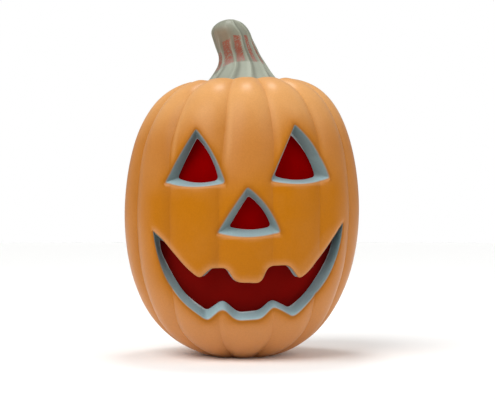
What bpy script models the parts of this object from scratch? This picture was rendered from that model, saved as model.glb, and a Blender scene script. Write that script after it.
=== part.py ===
"""Carved pumpkin lantern, moulded in plastic.

A ribbed, hollow orange body with a carved face: two triangular eyes, a triangular nose and a
wide toothed grin. Every opening narrows inwards through the thick wall, and a thin red film
closes it from behind. A separate fluted stem stands on the crown.

Metres, +Z up, the face towards -Y, the flat foot centred on the origin.
"""

import math

import bmesh
import bpy
from mathutils import Vector

MM = 0.001

# Body: the crest profile is a superellipse, with its own height and powers above and below
BODY_RADIUS = 0.1176
EQUATOR_HEIGHT = 0.144
UPPER_HEIGHT = 0.132
UPPER_POWER = 1.85
UPPER_ROOT = 0.235
LOWER_HEIGHT = 0.1465
LOWER_POWER = 1.95
LOWER_ROOT = 0.37
BODY_SEGMENTS = 84
BODY_RINGS = 34

# Lean of the moulded body, which leaves the foot level
LEAN = 0.028
LEAN_START_HEIGHT = 0.06

# Ribs
LOBES = 14
GROOVE_DEPTH = 0.0032
SHOULDER_GROOVE_DEPTH = 0.0018
SHOULDER_HEIGHT = 0.240
SHOULDER_SPREAD = 0.040
GROOVE_POWER = 2.2
GROOVE_FADE_CROWN = (0.037, 0.070)
GROOVE_FADE_FOOT = (0.010, 0.050)
LOW_RIB_SPREAD = math.radians(5.0)
LOW_RIB_HEIGHTS = (0.055, 0.130)

# Seat of the stem, sunk in the crown
SEAT_HEIGHT = 0.264
SEAT_RADIUS = 0.0427
SEAT_SLOPE = 0.010

# Wall and hollow
WALL = 0.016
HOLLOW_SEGMENTS = 42
HOLLOW_RINGS = 20

# Films behind the openings
GAP = 0.0003
FILM = 0.0012
FILM_MARGIN = 0.005

# Stem
STEM_SEGMENTS = 40
STEM_RINGS = 20
STEM_DOME_RINGS = 6
STEM_FOOT_RADIUS = 0.0380
STEM_NECK_RADIUS = 0.0202
STEM_NECK_HEIGHT = 0.3025
STEM_FLARE = 20.8
STEM_TIP_RADIUS = 0.0205
STEM_TIP_HEIGHT = 0.318
STEM_DOME_HEIGHT = 0.0172
STEM_BASE_SHIFT = 0.0013
STEM_BEND = -0.0127
STEM_BEND_HEIGHTS = (0.281, 0.328)
STEM_NOD = -0.007
STEM_NOD_HEIGHTS = (0.295, 0.335)
STEM_RIBS = 10
STEM_RIB_SHARE = 0.038
STEM_RIB_ANGLE = math.radians(-8.0)
STEM_TWIST = math.radians(-14.0)
STEM_TWIST_HEIGHTS = (0.275, 0.305)

# Openings. Each corner is (distance round the body, height, rounding, bulge of the next edge,
# pieces in the next edge), in millimetres, clockwise as seen from the front. The first list is
# the edge on the outside of the body and the second is the edge at the film.
LEFT_EYE_OUTER = (
    (-53.6, 221.6, 2.5, 4.4, 4),
    (-20.0, 171.2, 3.5, 3.4, 4),
    (-81.6, 173.6, 2.5, 0.3, 4),
)
LEFT_EYE_INNER = (
    (-61.5, 214.7, 2.0, 4.8, 4),
    (-30.1, 174.5, 4.5, 3.6, 4),
    (-80.9, 177.7, 2.5, 0.4, 4),
)
RIGHT_EYE_OUTER = (
    (54.6, 223.7, 2.5, 4.2, 4),
    (89.7, 174.1, 2.5, 4.0, 4),
    (24.0, 171.9, 3.0, 1.5, 4),
)
RIGHT_EYE_INNER = (
    (58.9, 215.8, 2.0, 4.0, 4),
    (86.4, 176.6, 4.5, 3.6, 4),
    (33.8, 178.7, 3.5, 1.2, 4),
)
NOSE_OUTER = (
    (1.2, 165.8, 2.5, 3.8, 3),
    (30.9, 124.5, 3.0, 4.2, 4),
    (-25.5, 125.8, 2.5, 0.5, 3),
)
NOSE_INNER = (
    (2.9, 158.4, 2.0, 3.0, 3),
    (27.6, 129.8, 4.0, 2.8, 4),
    (-17.5, 130.6, 2.5, 0.3, 3),
)
MOUTH_OUTER = (
    (-97.8, 128.7, 2.0, 0.0, 1),
    (-84.1, 118.9, 8.0, 0.0, 2),
    (-60.1, 92.4, 7.0, 0.0, 1),
    (-47.6, 82.4, 5.0, 0.0, 1),
    (-35.1, 92.1, 4.0, 0.0, 1),
    (-18.6, 92.1, 5.0, 0.0, 1),
    (-10.5, 78.5, 6.0, 0.0, 1),
    (15.5, 76.8, 6.0, 0.0, 1),
    (22.1, 92.5, 5.0, 0.0, 1),
    (43.4, 93.1, 6.0, 0.0, 1),
    (57.6, 78.8, 5.0, 0.0, 1),
    (67.7, 86.4, 4.0, 0.0, 2),
    (94.2, 116.4, 8.0, 0.0, 1),
    (109.7, 129.4, 2.0, 0.0, 1),
    (105.2, 104.6, 12.0, 0.0, 2),
    (97.3, 76.3, 12.0, 0.0, 2),
    (77.9, 53.9, 10.0, 0.0, 1),
    (63.4, 42.7, 6.0, 0.0, 1),
    (32.3, 54.2, 6.0, 0.0, 1),
    (20.4, 42.6, 6.0, 0.0, 2),
    (-11.7, 41.8, 7.0, 0.0, 1),
    (-25.0, 53.9, 6.0, 0.0, 1),
    (-47.5, 41.1, 6.0, 0.0, 1),
    (-71.4, 59.2, 12.0, 0.0, 1),
    (-83.4, 80.4, 12.0, 0.0, 2),
    (-93.8, 110.8, 10.0, 0.0, 1),
)
MOUTH_INNER = (
    (-110.7, 118.7, 1.5, 0.0, 1),
    (-99.5, 115.4, 4.0, 0.0, 2),
    (-71.9, 92.4, 7.0, 0.0, 1),
    (-56.8, 82.3, 5.0, 0.0, 1),
    (-41.1, 92.3, 4.0, 0.0, 1),
    (-21.3, 92.3, 5.0, 0.0, 1),
    (-11.8, 78.5, 6.0, 0.0, 1),
    (19.6, 76.7, 6.0, 0.0, 1),
    (27.3, 92.7, 5.0, 0.0, 1),
    (53.2, 93.2, 6.0, 0.0, 1),
    (72.3, 78.6, 5.0, 0.0, 1),
    (85.2, 86.2, 4.0, 0.0, 2),
    (115.8, 111.4, 4.0, 0.0, 1),
    (125.7, 116.9, 1.5, 0.0, 1),
    (118.3, 99.8, 8.0, 0.0, 2),
    (106.6, 84.3, 10.0, 0.0, 2),
    (87.8, 61.5, 10.0, 0.0, 1),
    (68.7, 50.7, 6.0, 0.0, 1),
    (36.3, 60.4, 6.0, 0.0, 1),
    (21.9, 50.1, 6.0, 0.0, 2),
    (-10.3, 48.6, 7.0, 0.0, 1),
    (-29.6, 61.6, 6.0, 0.0, 1),
    (-57.2, 50.6, 6.0, 0.0, 1),
    (-84.1, 66.6, 10.0, 0.0, 1),
    (-96.8, 86.0, 12.0, 0.0, 2),
    (-110.4, 108.1, 4.0, 0.0, 1),
)
MOUTH_FILM = (
    (-116.0, 124.0, 3.0, 0.0, 1),
    (-58.0, 101.0, 10.0, 0.0, 2),
    (70.0, 101.0, 10.0, 0.0, 1),
    (131.0, 123.0, 3.0, 0.0, 1),
    (115.0, 78.0, 12.0, 0.0, 1),
    (72.0, 41.0, 12.0, 0.0, 2),
    (-60.0, 41.0, 12.0, 0.0, 1),
    (-102.0, 78.0, 12.0, 0.0, 1),
)

# How far a cutter runs past the outside and past the film, as shares of the wall
CUT_OUTSIDE = -0.25
CUT_INSIDE = 1.25
FILM_FROM = 0.75
FILM_TO = 1.30
CAP_CELL = 0.014

# Colours as linear red, green and blue
ORANGE = (0.52, 0.212, 0.05)
STEM_GREEN = (0.31, 0.33, 0.24)
FILM_RED = (0.16, 0.001, 0.001)


def smooth(share):
    """Eases a share from 0 to 1 with level ends."""
    share = max(0.0, min(1.0, share))
    return share * share * (3.0 - 2.0 * share)


def eased(value, limits):
    """Eases a value that runs between two limits."""
    return smooth((value - limits[0]) / (limits[1] - limits[0]))


def crest_radius(height, inset):
    """Radius of the rib crests at a height, or of a surface set in from them."""
    if height > EQUATOR_HEIGHT:
        reach, power, root = UPPER_HEIGHT - inset, UPPER_POWER, UPPER_ROOT
    else:
        reach, power, root = LOWER_HEIGHT - inset, LOWER_POWER, LOWER_ROOT
    share = min(abs(height - EQUATOR_HEIGHT) / reach, 1.0)
    return (BODY_RADIUS - inset) * (1.0 - share ** power) ** root


def profile(polar, inset):
    """Radius and height of the turned profile at an angle from the top."""
    sine = math.sin(polar)
    radius = (BODY_RADIUS - inset) * sine
    if polar < math.pi / 2.0:
        share = (1.0 - sine ** (1.0 / UPPER_ROOT)) ** (1.0 / UPPER_POWER)
        height = EQUATOR_HEIGHT + (UPPER_HEIGHT - inset) * share
        rim = smooth((radius - SEAT_RADIUS) / SEAT_SLOPE)
        seat = SEAT_HEIGHT - inset
        height = seat + (height - seat) * rim
    else:
        share = (1.0 - sine ** (1.0 / LOWER_ROOT)) ** (1.0 / LOWER_POWER)
        height = EQUATOR_HEIGHT - (LOWER_HEIGHT - inset) * share
    return radius, height


def leaned(point):
    """Raises the +X side a little, above the level foot."""
    rise = LEAN * point.x * smooth(point.z / LEAN_START_HEIGHT)
    return Vector((point.x, point.y, point.z + rise))


def around(azimuth, radius, height):
    """Point at an azimuth measured from the face (-Y) towards +X."""
    return Vector((radius * math.sin(azimuth), -radius * math.cos(azimuth), height))


def groove_depth(azimuth, radius, height):
    """Depth of the ribbed surface below the crests."""
    lobe = azimuth * LOBES / (2.0 * math.pi)
    share = abs(lobe - round(lobe)) * 2.0
    shoulder = smooth(1.0 - abs(height - SHOULDER_HEIGHT) / SHOULDER_SPREAD)
    depth = GROOVE_DEPTH + SHOULDER_GROOVE_DEPTH * shoulder
    fade = GROOVE_FADE_CROWN if height > EQUATOR_HEIGHT else GROOVE_FADE_FOOT
    return depth * share ** GROOVE_POWER * eased(radius, fade)


def body_point(unit, inset, ribbed):
    """Moves a vertex of a unit sphere to the body's form."""
    polar = math.acos(max(-1.0, min(1.0, unit.z)))
    azimuth = math.atan2(unit.x, -unit.y)
    radius, height = profile(polar, inset)
    if ribbed:
        step = 0.01
        before = profile(max(0.0, polar - step), inset)
        after = profile(min(math.pi, polar + step), inset)
        along = Vector((after[0] - before[0], after[1] - before[1])).normalized()
        depth = groove_depth(azimuth, radius, height)
        radius += along.y * depth
        height -= along.x * depth
        low = 1.0 - eased(height, LOW_RIB_HEIGHTS)
        azimuth += LOW_RIB_SPREAD * low * math.sin(2.0 * azimuth)
        height = max(height, 0.0)
    return leaned(around(azimuth, radius, height))


def wall_point(distance, height, share):
    """Point in the wall: share 0 is on the crests and 1 is at the hollow."""
    radius = crest_radius(height, 0.0) * (1.0 - share) + crest_radius(height, WALL) * share
    return leaned(around(distance / BODY_RADIUS, radius, height))


def rounded_outline(corners, arc_pieces):
    """Points round a flat outline with bulged edges and rounded corners."""
    count = len(corners)
    places = [Vector((corner[0], corner[1])) * MM for corner in corners]

    def on_edge(index, share):
        start = places[index]
        run = places[(index + 1) % count] - start
        outward = Vector((-run.y, run.x)).normalized()
        bulge = corners[index][3] * MM * 4.0 * share * (1.0 - share)
        return start + run * share + outward * bulge

    def shares(index):
        length = (places[(index + 1) % count] - places[index]).length
        first = min(corners[index][2] * MM / length, 0.45)
        last = 1.0 - min(corners[(index + 1) % count][2] * MM / length, 0.45)
        return first, last

    points = []
    for index in range(count):
        arc_start = on_edge(index - 1, shares(index - 1)[1])
        arc_end = on_edge(index, shares(index)[0])
        for piece in range(arc_pieces + 1):
            turn = piece / arc_pieces
            point = arc_start * (1.0 - turn) ** 2
            point += places[index] * 2.0 * turn * (1.0 - turn)
            point += arc_end * turn ** 2
            points.append(point)
        first, last = shares(index)
        pieces = corners[index][4]
        for piece in range(1, pieces):
            points.append(on_edge(index, first + (last - first) * piece / pieces))
    return points


def grown(corners, margin):
    """The same outline with its corners moved outwards."""
    count = len(corners)
    moved = []
    for index, corner in enumerate(corners):
        here = Vector(corner[:2])
        before = (here - Vector(corners[index - 1][:2])).normalized()
        after = (Vector(corners[(index + 1) % count][:2]) - here).normalized()
        side = Vector((-before.y - after.y, before.x + after.x)).normalized()
        spread = margin / MM / max(0.45, side.dot(Vector((-after.y, after.x))))
        place = here + side * spread
        moved.append((place.x, place.y, *corner[2:]))
    return moved


def new_object(name, mesh, collection):
    """Adds a bmesh to a collection as an object."""
    data = bpy.data.meshes.new(name)
    mesh.to_mesh(data)
    mesh.free()
    result = bpy.data.objects.new(name, data)
    collection.objects.link(result)
    return result


def form_object(name, inset, segments, rings, ribbed, collection):
    """Closed body form at an inset from the crests."""
    mesh = bmesh.new()
    bmesh.ops.create_uvsphere(mesh, u_segments=segments, v_segments=rings, radius=1.0)
    for vert in mesh.verts:
        vert.co = body_point(vert.co, inset, ribbed)
    bmesh.ops.recalc_face_normals(mesh, faces=mesh.faces)
    return new_object(name, mesh, collection)


def opening_object(name, outer, inner, near, far, arc_pieces, collection):
    """Solid between two outlines laid round the body, from one share of the wall to another."""
    outer_points = rounded_outline(outer, arc_pieces)
    inner_points = rounded_outline(inner, arc_pieces)
    mesh = bmesh.new()
    rings = []
    for share in (near, far):
        ring = []
        for start, end in zip(outer_points, inner_points):
            place = start.lerp(end, share)
            ring.append(mesh.verts.new((place.x, share, place.y)))
        rings.append(ring)
    mesh.faces.new(rings[0])
    mesh.faces.new(reversed(rings[1]))
    count = len(outer_points)
    for index in range(count):
        after = (index + 1) % count
        mesh.faces.new((rings[0][after], rings[0][index], rings[1][index], rings[1][after]))
    # The flat caps are divided into cells, so that they follow the body once laid round it
    for axis, normal in ((0, Vector((1.0, 0.0, 0.0))), (2, Vector((0.0, 0.0, 1.0)))):
        low = min(vert.co[axis] for vert in mesh.verts)
        high = max(vert.co[axis] for vert in mesh.verts)
        cells = max(2, round((high - low) / CAP_CELL))
        for cell in range(1, cells):
            geometry = mesh.verts[:] + mesh.edges[:] + mesh.faces[:]
            place = normal * (low + (high - low) * cell / cells)
            bmesh.ops.bisect_plane(mesh, geom=geometry, dist=1e-6, plane_co=place, plane_no=normal)
    bmesh.ops.triangulate(mesh, faces=mesh.faces)
    for vert in mesh.verts:
        vert.co = wall_point(vert.co.x, vert.co.z, vert.co.y)
    bmesh.ops.recalc_face_normals(mesh, faces=mesh.faces)
    return new_object(name, mesh, collection)


def stem_profile(ring):
    """Radius and height of one ring of the stem, counted from the tip."""
    if ring <= STEM_DOME_RINGS:
        angle = math.pi / 2.0 * ring / STEM_DOME_RINGS
        height = STEM_TIP_HEIGHT + STEM_DOME_HEIGHT * math.cos(angle)
        return STEM_TIP_RADIUS * math.sin(angle), height
    if ring == STEM_RINGS:
        return 0.0, SEAT_HEIGHT + GAP
    share = (ring - STEM_DOME_RINGS) / (STEM_RINGS - 1 - STEM_DOME_RINGS)
    height = STEM_TIP_HEIGHT + (SEAT_HEIGHT + GAP - STEM_TIP_HEIGHT) * share
    drop = max(0.0, STEM_NECK_HEIGHT - height)
    radius = STEM_NECK_RADIUS + STEM_FLARE * drop * drop
    return min(radius, STEM_FOOT_RADIUS), height


def stem_point(unit):
    """Moves a vertex of a unit sphere to the stem."""
    polar = math.acos(max(-1.0, min(1.0, unit.z)))
    ring = round(polar / math.pi * STEM_RINGS)
    radius, height = stem_profile(ring)
    azimuth = math.atan2(unit.x, -unit.y)
    twist = STEM_TWIST * (1.0 - eased(height, STEM_TWIST_HEIGHTS))
    tip_fade = min(1.0, radius / STEM_TIP_RADIUS) ** 2
    rib = math.cos(STEM_RIBS * (azimuth - STEM_RIB_ANGLE - twist))
    foot_fade = eased(height, (SEAT_HEIGHT, STEM_TWIST_HEIGHTS[0]))
    radius *= 1.0 + STEM_RIB_SHARE * rib * tip_fade * foot_fade
    place = around(azimuth, radius, height)
    place.x += STEM_BASE_SHIFT + STEM_BEND * eased(height, STEM_BEND_HEIGHTS)
    place.y += STEM_NOD * eased(height, STEM_NOD_HEIGHTS)
    return leaned(place)


def stem_object(name, collection):
    """Fluted stem with a domed tip that bends to one side and a little forward."""
    mesh = bmesh.new()
    bmesh.ops.create_uvsphere(mesh, u_segments=STEM_SEGMENTS, v_segments=STEM_RINGS, radius=1.0)
    for vert in mesh.verts:
        vert.co = stem_point(vert.co)
    bmesh.ops.recalc_face_normals(mesh, faces=mesh.faces)
    return new_object(name, mesh, collection)


def boolean(target, cutter, operation):
    """Adds a Boolean modifier."""
    modifier = target.modifiers.new(cutter.name, "BOOLEAN")
    modifier.operation = operation
    modifier.solver = "EXACT"
    modifier.object = cutter


def hide_cutter(cutter):
    """Shows a cutter as wire and leaves it out of renders."""
    cutter.hide_render = True
    cutter.display_type = "WIRE"


def dress(target, name, colour, roughness, sharp_angle):
    """Gives an object its plain material and smooth shading."""
    material = bpy.data.materials.new(name)
    material.use_nodes = True
    shader = material.node_tree.nodes["Principled BSDF"]
    shader.inputs["Base Color"].default_value = (*colour, 1.0)
    shader.inputs["Roughness"].default_value = roughness
    shader.inputs["Metallic"].default_value = 0.0
    target.data.materials.append(material)
    target.data.shade_smooth()
    target.data.set_sharp_from_angle(angle=math.radians(sharp_angle))


def main():
    """Builds the shell, the stem and the four films."""
    for existing in list(bpy.data.objects):
        bpy.data.objects.remove(existing, do_unlink=True)
    parts = bpy.data.collections.new("carved_pumpkin_lantern")
    cutters = bpy.data.collections.new("cutters")
    bpy.context.scene.collection.children.link(parts)
    bpy.context.scene.collection.children.link(cutters)

    shell = form_object("shell", 0.0, BODY_SEGMENTS, BODY_RINGS, True, parts)
    hollow = form_object("hollow", WALL, HOLLOW_SEGMENTS, HOLLOW_RINGS, False, cutters)
    film_front = form_object(
        "film_front", WALL + GAP, HOLLOW_SEGMENTS, HOLLOW_RINGS, False, cutters
    )
    film_back = form_object(
        "film_back", WALL + GAP + FILM, HOLLOW_SEGMENTS, HOLLOW_RINGS, False, cutters
    )
    for cutter in (hollow, film_front, film_back):
        hide_cutter(cutter)
    boolean(shell, hollow, "DIFFERENCE")

    openings = (
        ("left_eye", LEFT_EYE_OUTER, LEFT_EYE_INNER, grown(LEFT_EYE_INNER, FILM_MARGIN)),
        ("right_eye", RIGHT_EYE_OUTER, RIGHT_EYE_INNER, grown(RIGHT_EYE_INNER, FILM_MARGIN)),
        ("nose", NOSE_OUTER, NOSE_INNER, grown(NOSE_INNER, FILM_MARGIN)),
        ("mouth", MOUTH_OUTER, MOUTH_INNER, MOUTH_FILM),
    )
    for name, outer, inner, film_outline in openings:
        cutter = opening_object(
            name + "_cutter", outer, inner, CUT_OUTSIDE, CUT_INSIDE, 3, cutters
        )
        hide_cutter(cutter)
        boolean(shell, cutter, "DIFFERENCE")
        film = opening_object(
            name + "_window", film_outline, film_outline, FILM_FROM, FILM_TO, 3, parts
        )
        boolean(film, film_front, "INTERSECT")
        boolean(film, film_back, "DIFFERENCE")
        dress(film, name + "_red_film", FILM_RED, 0.35, 30.0)

    stem = stem_object("stem", parts)
    dress(shell, "orange_plastic", ORANGE, 0.45, 40.0)
    dress(stem, "green_plastic", STEM_GREEN, 0.55, 60.0)


if __name__ == "__main__":
    main()
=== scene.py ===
"""Dresses the carved pumpkin lantern: a ribbed shell, a fluted stem and four red films.

The shell is turned and ribbed from named sizes, and its eyes, nose and grin are cut through it
with soft lips and pale walls. Airbrushed paint, brush strokes and grain come from procedural
materials that read attributes measured on the finished meshes; some of these coats are painted
shade and painted highlights. Metres, +Z up, face to -Y.
"""

import logging
import math
from collections.abc import Callable
from dataclasses import dataclass
from enum import Enum
from functools import partial

import bmesh
import bpy
import numpy as np
from mathutils import Matrix, Vector
from mathutils.bvhtree import BVHTree


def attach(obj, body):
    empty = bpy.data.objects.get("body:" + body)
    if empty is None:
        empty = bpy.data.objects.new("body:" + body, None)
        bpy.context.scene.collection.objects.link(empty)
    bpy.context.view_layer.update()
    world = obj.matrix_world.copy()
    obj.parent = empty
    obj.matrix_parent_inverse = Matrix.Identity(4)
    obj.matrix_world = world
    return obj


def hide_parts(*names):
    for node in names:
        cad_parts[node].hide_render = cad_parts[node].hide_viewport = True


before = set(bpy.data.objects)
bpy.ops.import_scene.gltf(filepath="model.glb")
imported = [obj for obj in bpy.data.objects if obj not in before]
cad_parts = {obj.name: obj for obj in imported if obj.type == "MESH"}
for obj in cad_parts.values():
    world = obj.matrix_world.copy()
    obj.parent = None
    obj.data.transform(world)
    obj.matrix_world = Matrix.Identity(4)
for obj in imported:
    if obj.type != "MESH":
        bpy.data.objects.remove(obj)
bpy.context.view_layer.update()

BODY = "root"
MM = 0.001
LOG = logging.getLogger("pumpkin_lantern")


def clamped(share: float) -> float:
    """Keeps a share between 0 and 1."""
    return max(0.0, min(1.0, share))


def smooth(share: float) -> float:
    """Eases a share from 0 to 1 with level ends."""
    share = clamped(share)
    return share * share * (3.0 - 2.0 * share)


def eased(value: float, limits: tuple[float, float]) -> float:
    """Eases a value that runs between two limits."""
    return smooth((value - limits[0]) / (limits[1] - limits[0]))


def smooth_array(values: np.ndarray, low: float, high: float) -> np.ndarray:
    """Eases an array of values that runs between two limits."""
    share = np.clip((values - low) / (high - low), 0.0, 1.0)
    return share * share * (3.0 - 2.0 * share)


def wrapped(angle: float) -> float:
    """Brings an angle in degrees between -180 and 180."""
    return (angle + 180.0) % 360.0 - 180.0


def sphere_angles(unit: Vector) -> tuple[float, float]:
    """Angles of a unit sphere's vertex from the top and from the front."""
    return math.acos(max(-1.0, min(1.0, unit.z))), math.atan2(unit.x, -unit.y)


def linear_colour(code: str) -> tuple[float, float, float, float]:
    """Turns an sRGB hex colour into linear red, green, blue and alpha.

    Args:
        code: Six hex digits after a hash.

    Returns:
        The linear colour with an alpha of 1.
    """
    channels = []
    for start in (1, 3, 5):
        value = int(code[start:start + 2], 16) / 255.0
        channels.append(value / 12.92 if value <= 0.04045 else ((value + 0.055) / 1.055) ** 2.4)
    return (channels[0], channels[1], channels[2], 1.0)


def set_node(tree: bpy.types.NodeTree, node: bpy.types.Node, settings: dict | None = None,
             links: dict | None = None) -> None:
    """Sets a shader node's values and links its inputs.

    Args:
        tree: Node tree that holds the node.
        node: The node.
        settings: Property names, or input names or numbers, with their values.
        links: Input names or numbers with the output sockets that feed them.
    """
    for name, value in (settings or {}).items():
        if isinstance(name, str) and hasattr(node, name):
            setattr(node, name, value)
        else:
            node.inputs[name].default_value = value
    for name, socket in (links or {}).items():
        tree.links.new(socket, node.inputs[name])


def add_node(tree: bpy.types.NodeTree, kind: str, settings: dict | None = None,
             links: dict | None = None) -> bpy.types.Node:
    """Adds a shader node with its settings and links.

    Args:
        tree: Node tree that gets the node.
        kind: Type name of the node.
        settings: What set_node sets on it.
        links: What set_node links to it.

    Returns:
        The new node.
    """
    node = tree.nodes.new(kind)
    set_node(tree, node, settings, links)
    return node


def new_material(name: str) -> tuple[bpy.types.Material, bpy.types.NodeTree, bpy.types.Node,
                                     bpy.types.NodeSocket]:
    """Starts a node material.

    Args:
        name: Name of the material.

    Returns:
        The material, its node tree, its shader and the socket of the Object coordinates.
    """
    material = bpy.data.materials.new(name)
    material.use_nodes = True
    tree = material.node_tree
    place = add_node(tree, "ShaderNodeTexCoord").outputs["Object"]
    return material, tree, tree.nodes["Principled BSDF"], place


@dataclass(frozen=True)
class Half:
    """One half of the body's turned profile.

    Args:
        height: Distance from the equator to the pole.
        power: Power of the height in the superellipse.
        root: Power of the remainder that gives the radius.
    """

    height: float
    power: float
    root: float


@dataclass(frozen=True)
class BodyForm:
    """The ribbed, slightly leaning form of the body."""

    radius: float = 0.11755
    equator: float = 0.144
    upper: Half = Half(0.132, 1.85, 0.235)
    lower: Half = Half(0.1465, 2.1, 0.412)
    wall: float = 0.016
    lean: float = 0.028
    lean_start: float = 0.06
    lobes: int = 14
    groove: float = 0.0038
    shoulder_groove: float = 0.0010
    shoulder_height: float = 0.240
    shoulder_spread: float = 0.040
    groove_power: float = 2.2
    crown_fade: tuple[float, float] = (0.037, 0.070)
    foot_fade: tuple[float, float] = (0.010, 0.050)
    low_spread: float = math.radians(5.0)
    low_heights: tuple[float, float] = (0.055, 0.130)
    foot_spread: float = math.radians(14.0)
    foot_shift: float = math.radians(2.5)
    foot_heights: tuple[float, float] = (0.004, 0.070)
    high_shift: float = math.radians(2.3)
    high_spread: float = math.radians(2.42)
    high_ripple: float = math.radians(1.08)
    high_heights: tuple[float, float] = (0.160, 0.215)
    seat_height: float = 0.264
    seat_radius: float = 0.0427
    seat_slope: float = 0.010
    gather: float = 0.72
    shoulder_drop: float = 0.0016

    def crest_radius(self, height: float, inset: float = 0.0) -> float:
        """Radius of the rib crests at a height.

        Args:
            height: Height before the lean.
            inset: How far the surface is set in.

        Returns:
            The radius in metres.
        """
        half = self.upper if height > self.equator else self.lower
        share = min(abs(height - self.equator) / (half.height - inset), 1.0)
        return (self.radius - inset) * (1.0 - share ** half.power) ** half.root

    def profile(self, polar: float, inset: float) -> tuple[float, float]:
        """Turned profile at an angle from the top.

        Args:
            polar: Angle from the top of a unit sphere.
            inset: How far the surface is set in from the crests.

        Returns:
            The radius and the height.
        """
        sine = math.sin(polar)
        radius = (self.radius - inset) * sine
        half = self.upper if polar < math.pi / 2.0 else self.lower
        share = (1.0 - sine ** (1.0 / half.root)) ** (1.0 / half.power)
        if half is self.lower:
            return radius, self.equator - (half.height - inset) * share
        height = self.equator + (half.height - inset) * share
        seat = self.seat_height - inset
        return radius, seat + (height - seat) * smooth((radius - self.seat_radius) / self.seat_slope)

    def rib_share(self, azimuth: float) -> float:
        """Distance from the crest of a rib, from 0 on it to 1 in the groove."""
        lobe = azimuth * self.lobes / math.tau
        return abs(lobe - round(lobe)) * 2.0

    def groove_depth(self, azimuth: float, radius: float, height: float) -> float:
        """Depth of the ribbed surface below its crests.

        Args:
            azimuth: Angle from the face before the low ribs spread.
            radius: Radius of the crests there.
            height: Height of the crests there.

        Returns:
            The depth along the surface's normal.
        """
        shoulder = smooth(1.0 - abs(height - self.shoulder_height) / self.shoulder_spread)
        depth = self.groove + self.shoulder_groove * shoulder
        fade = self.crown_fade if height > self.equator else self.foot_fade
        return depth * self.rib_share(azimuth) ** self.groove_power * eased(radius, fade)

    def gathered(self, azimuth: float) -> float:
        """Draws meridians towards the grooves, where the surface bends most."""
        lobe = azimuth * self.lobes / math.tau
        offset = lobe - round(lobe)
        offset += self.gather * math.sin(math.tau * offset) / math.tau
        return (round(lobe) + offset) * math.tau / self.lobes

    def swayed(self, azimuth: float, height: float) -> float:
        """Moves the ribs sideways, as the moulded ones wander low down and on the brow.

        Args:
            azimuth: Angle from the face on the even ribs.
            height: Height there.

        Returns:
            The angle at which the rib runs.
        """
        low = 1.0 - eased(height, self.low_heights)
        high = eased(height, self.high_heights)
        brow = self.high_shift * math.exp(-(azimuth / math.radians(25.0)) ** 2)
        brow += self.high_spread * math.sin(2.0 * azimuth) - self.high_ripple * math.sin(6.0 * azimuth)
        foot = 1.0 - eased(height, self.foot_heights)
        shift = self.foot_shift * foot * math.exp(-(azimuth / math.radians(30.0)) ** 2)
        spread = self.low_spread * low + self.foot_spread * foot
        return azimuth + shift + spread * math.sin(2.0 * azimuth) + high * brow

    def rib_angles(self, azimuth: np.ndarray, height: np.ndarray) -> np.ndarray:
        """Finds the angle on the even ribs for places on the wandering ones.

        Args:
            azimuth: Angles from the face.
            height: Heights there.

        Returns:
            The angles before the ribs sway.
        """
        angles = azimuth.copy()
        for _ in range(3):
            swayed = np.array([self.swayed(*pair) for pair in zip(angles, height)])
            angles += azimuth - swayed
        return angles

    def leaned(self, point: Vector) -> Vector:
        """Raises the +X side a little above the level foot and drops the other shoulder."""
        rise = self.lean * point.x * smooth(point.z / self.lean_start)
        drop = self.shoulder_drop * eased(-point.x, (0.03, 0.08)) * eased(point.z, (0.21, 0.25))
        return Vector((point.x, point.y, point.z + rise - drop))

    def around(self, azimuth: float, radius: float, height: float) -> Vector:
        """Leaned point at an azimuth measured from the face towards +X."""
        return self.leaned(Vector((radius * math.sin(azimuth), -radius * math.cos(azimuth), height)))

    def surface_point(self, unit: Vector) -> Vector:
        """Moves a vertex of a unit sphere to the ribbed surface.

        Args:
            unit: Vertex of the unit sphere.

        Returns:
            The point on the body.
        """
        polar, around = sphere_angles(unit)
        azimuth = self.gathered(around)
        step = 0.004
        radius, height = self.profile(polar, 0.0)
        before = self.profile(max(0.0, polar - step), 0.0)
        after = self.profile(min(math.pi, polar + step), 0.0)
        along = Vector((after[0] - before[0], after[1] - before[1])).normalized()
        depth = self.groove_depth(azimuth, radius, height)
        radius += along.y * depth
        height -= along.x * depth
        return self.around(self.swayed(azimuth, height), radius, max(height, 0.0))

    def hollow_point(self, unit: Vector) -> Vector:
        """Moves a vertex of a unit sphere to the plain inside of the wall."""
        polar, azimuth = sphere_angles(unit)
        return self.around(azimuth, *self.profile(polar, self.wall))


@dataclass(frozen=True)
class Corner:
    """A corner of an opening's edge.

    Args:
        along: Distance round the body from the face's middle, in millimetres.
        height: Height in millimetres.
        rounding: Length of edge that the corner's rounding takes, in millimetres.
        bulge: How far the next edge bows outwards, in millimetres.
    """

    along: float
    height: float
    rounding: float
    bulge: float = 0.0


@dataclass(frozen=True)
class BySide:
    """A value for each side of an opening, blended round its corners."""

    left: float
    right: float
    above: float
    below: float

    def towards(self, facing: np.ndarray) -> np.ndarray:
        """The value where the edge faces a flat direction.

        Args:
            facing: Outward directions of the edge, one a row.

        Returns:
            One value a row.
        """
        along = np.where(facing[:, 0] < 0.0, self.left, self.right)
        upright = np.where(facing[:, 1] < 0.0, self.below, self.above)
        return along * facing[:, 0] ** 2 + upright * facing[:, 1] ** 2


@dataclass(frozen=True)
class EdgeHighlight:
    """Painted highlight: pale paint beside an opening's edge that stands in for the light on its rounded lip,
    where the dark line round it breaks off.

    Args:
        side: 1 above the opening and -1 below it.
        limits: Slopes of the edge between which the paint sets in.
        start: Distance from the edge at which it is strongest, in metres.
        fade: Distance over which it fades, in metres.
        share: Its strength.
        softening: How far it also softens the lip, from 0 to 1.
    """

    side: float = -1.0
    limits: tuple[float, float] = (0.6, 0.9)
    start: float = 0.0018
    fade: float = 0.0011
    share: float = 0.35
    softening: float = 0.0


class FilmTone(Enum):
    """The two reds that the films show, by the names of their materials."""

    BRIGHT = "red_film"
    DEEP = "deep_red_film"


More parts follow.
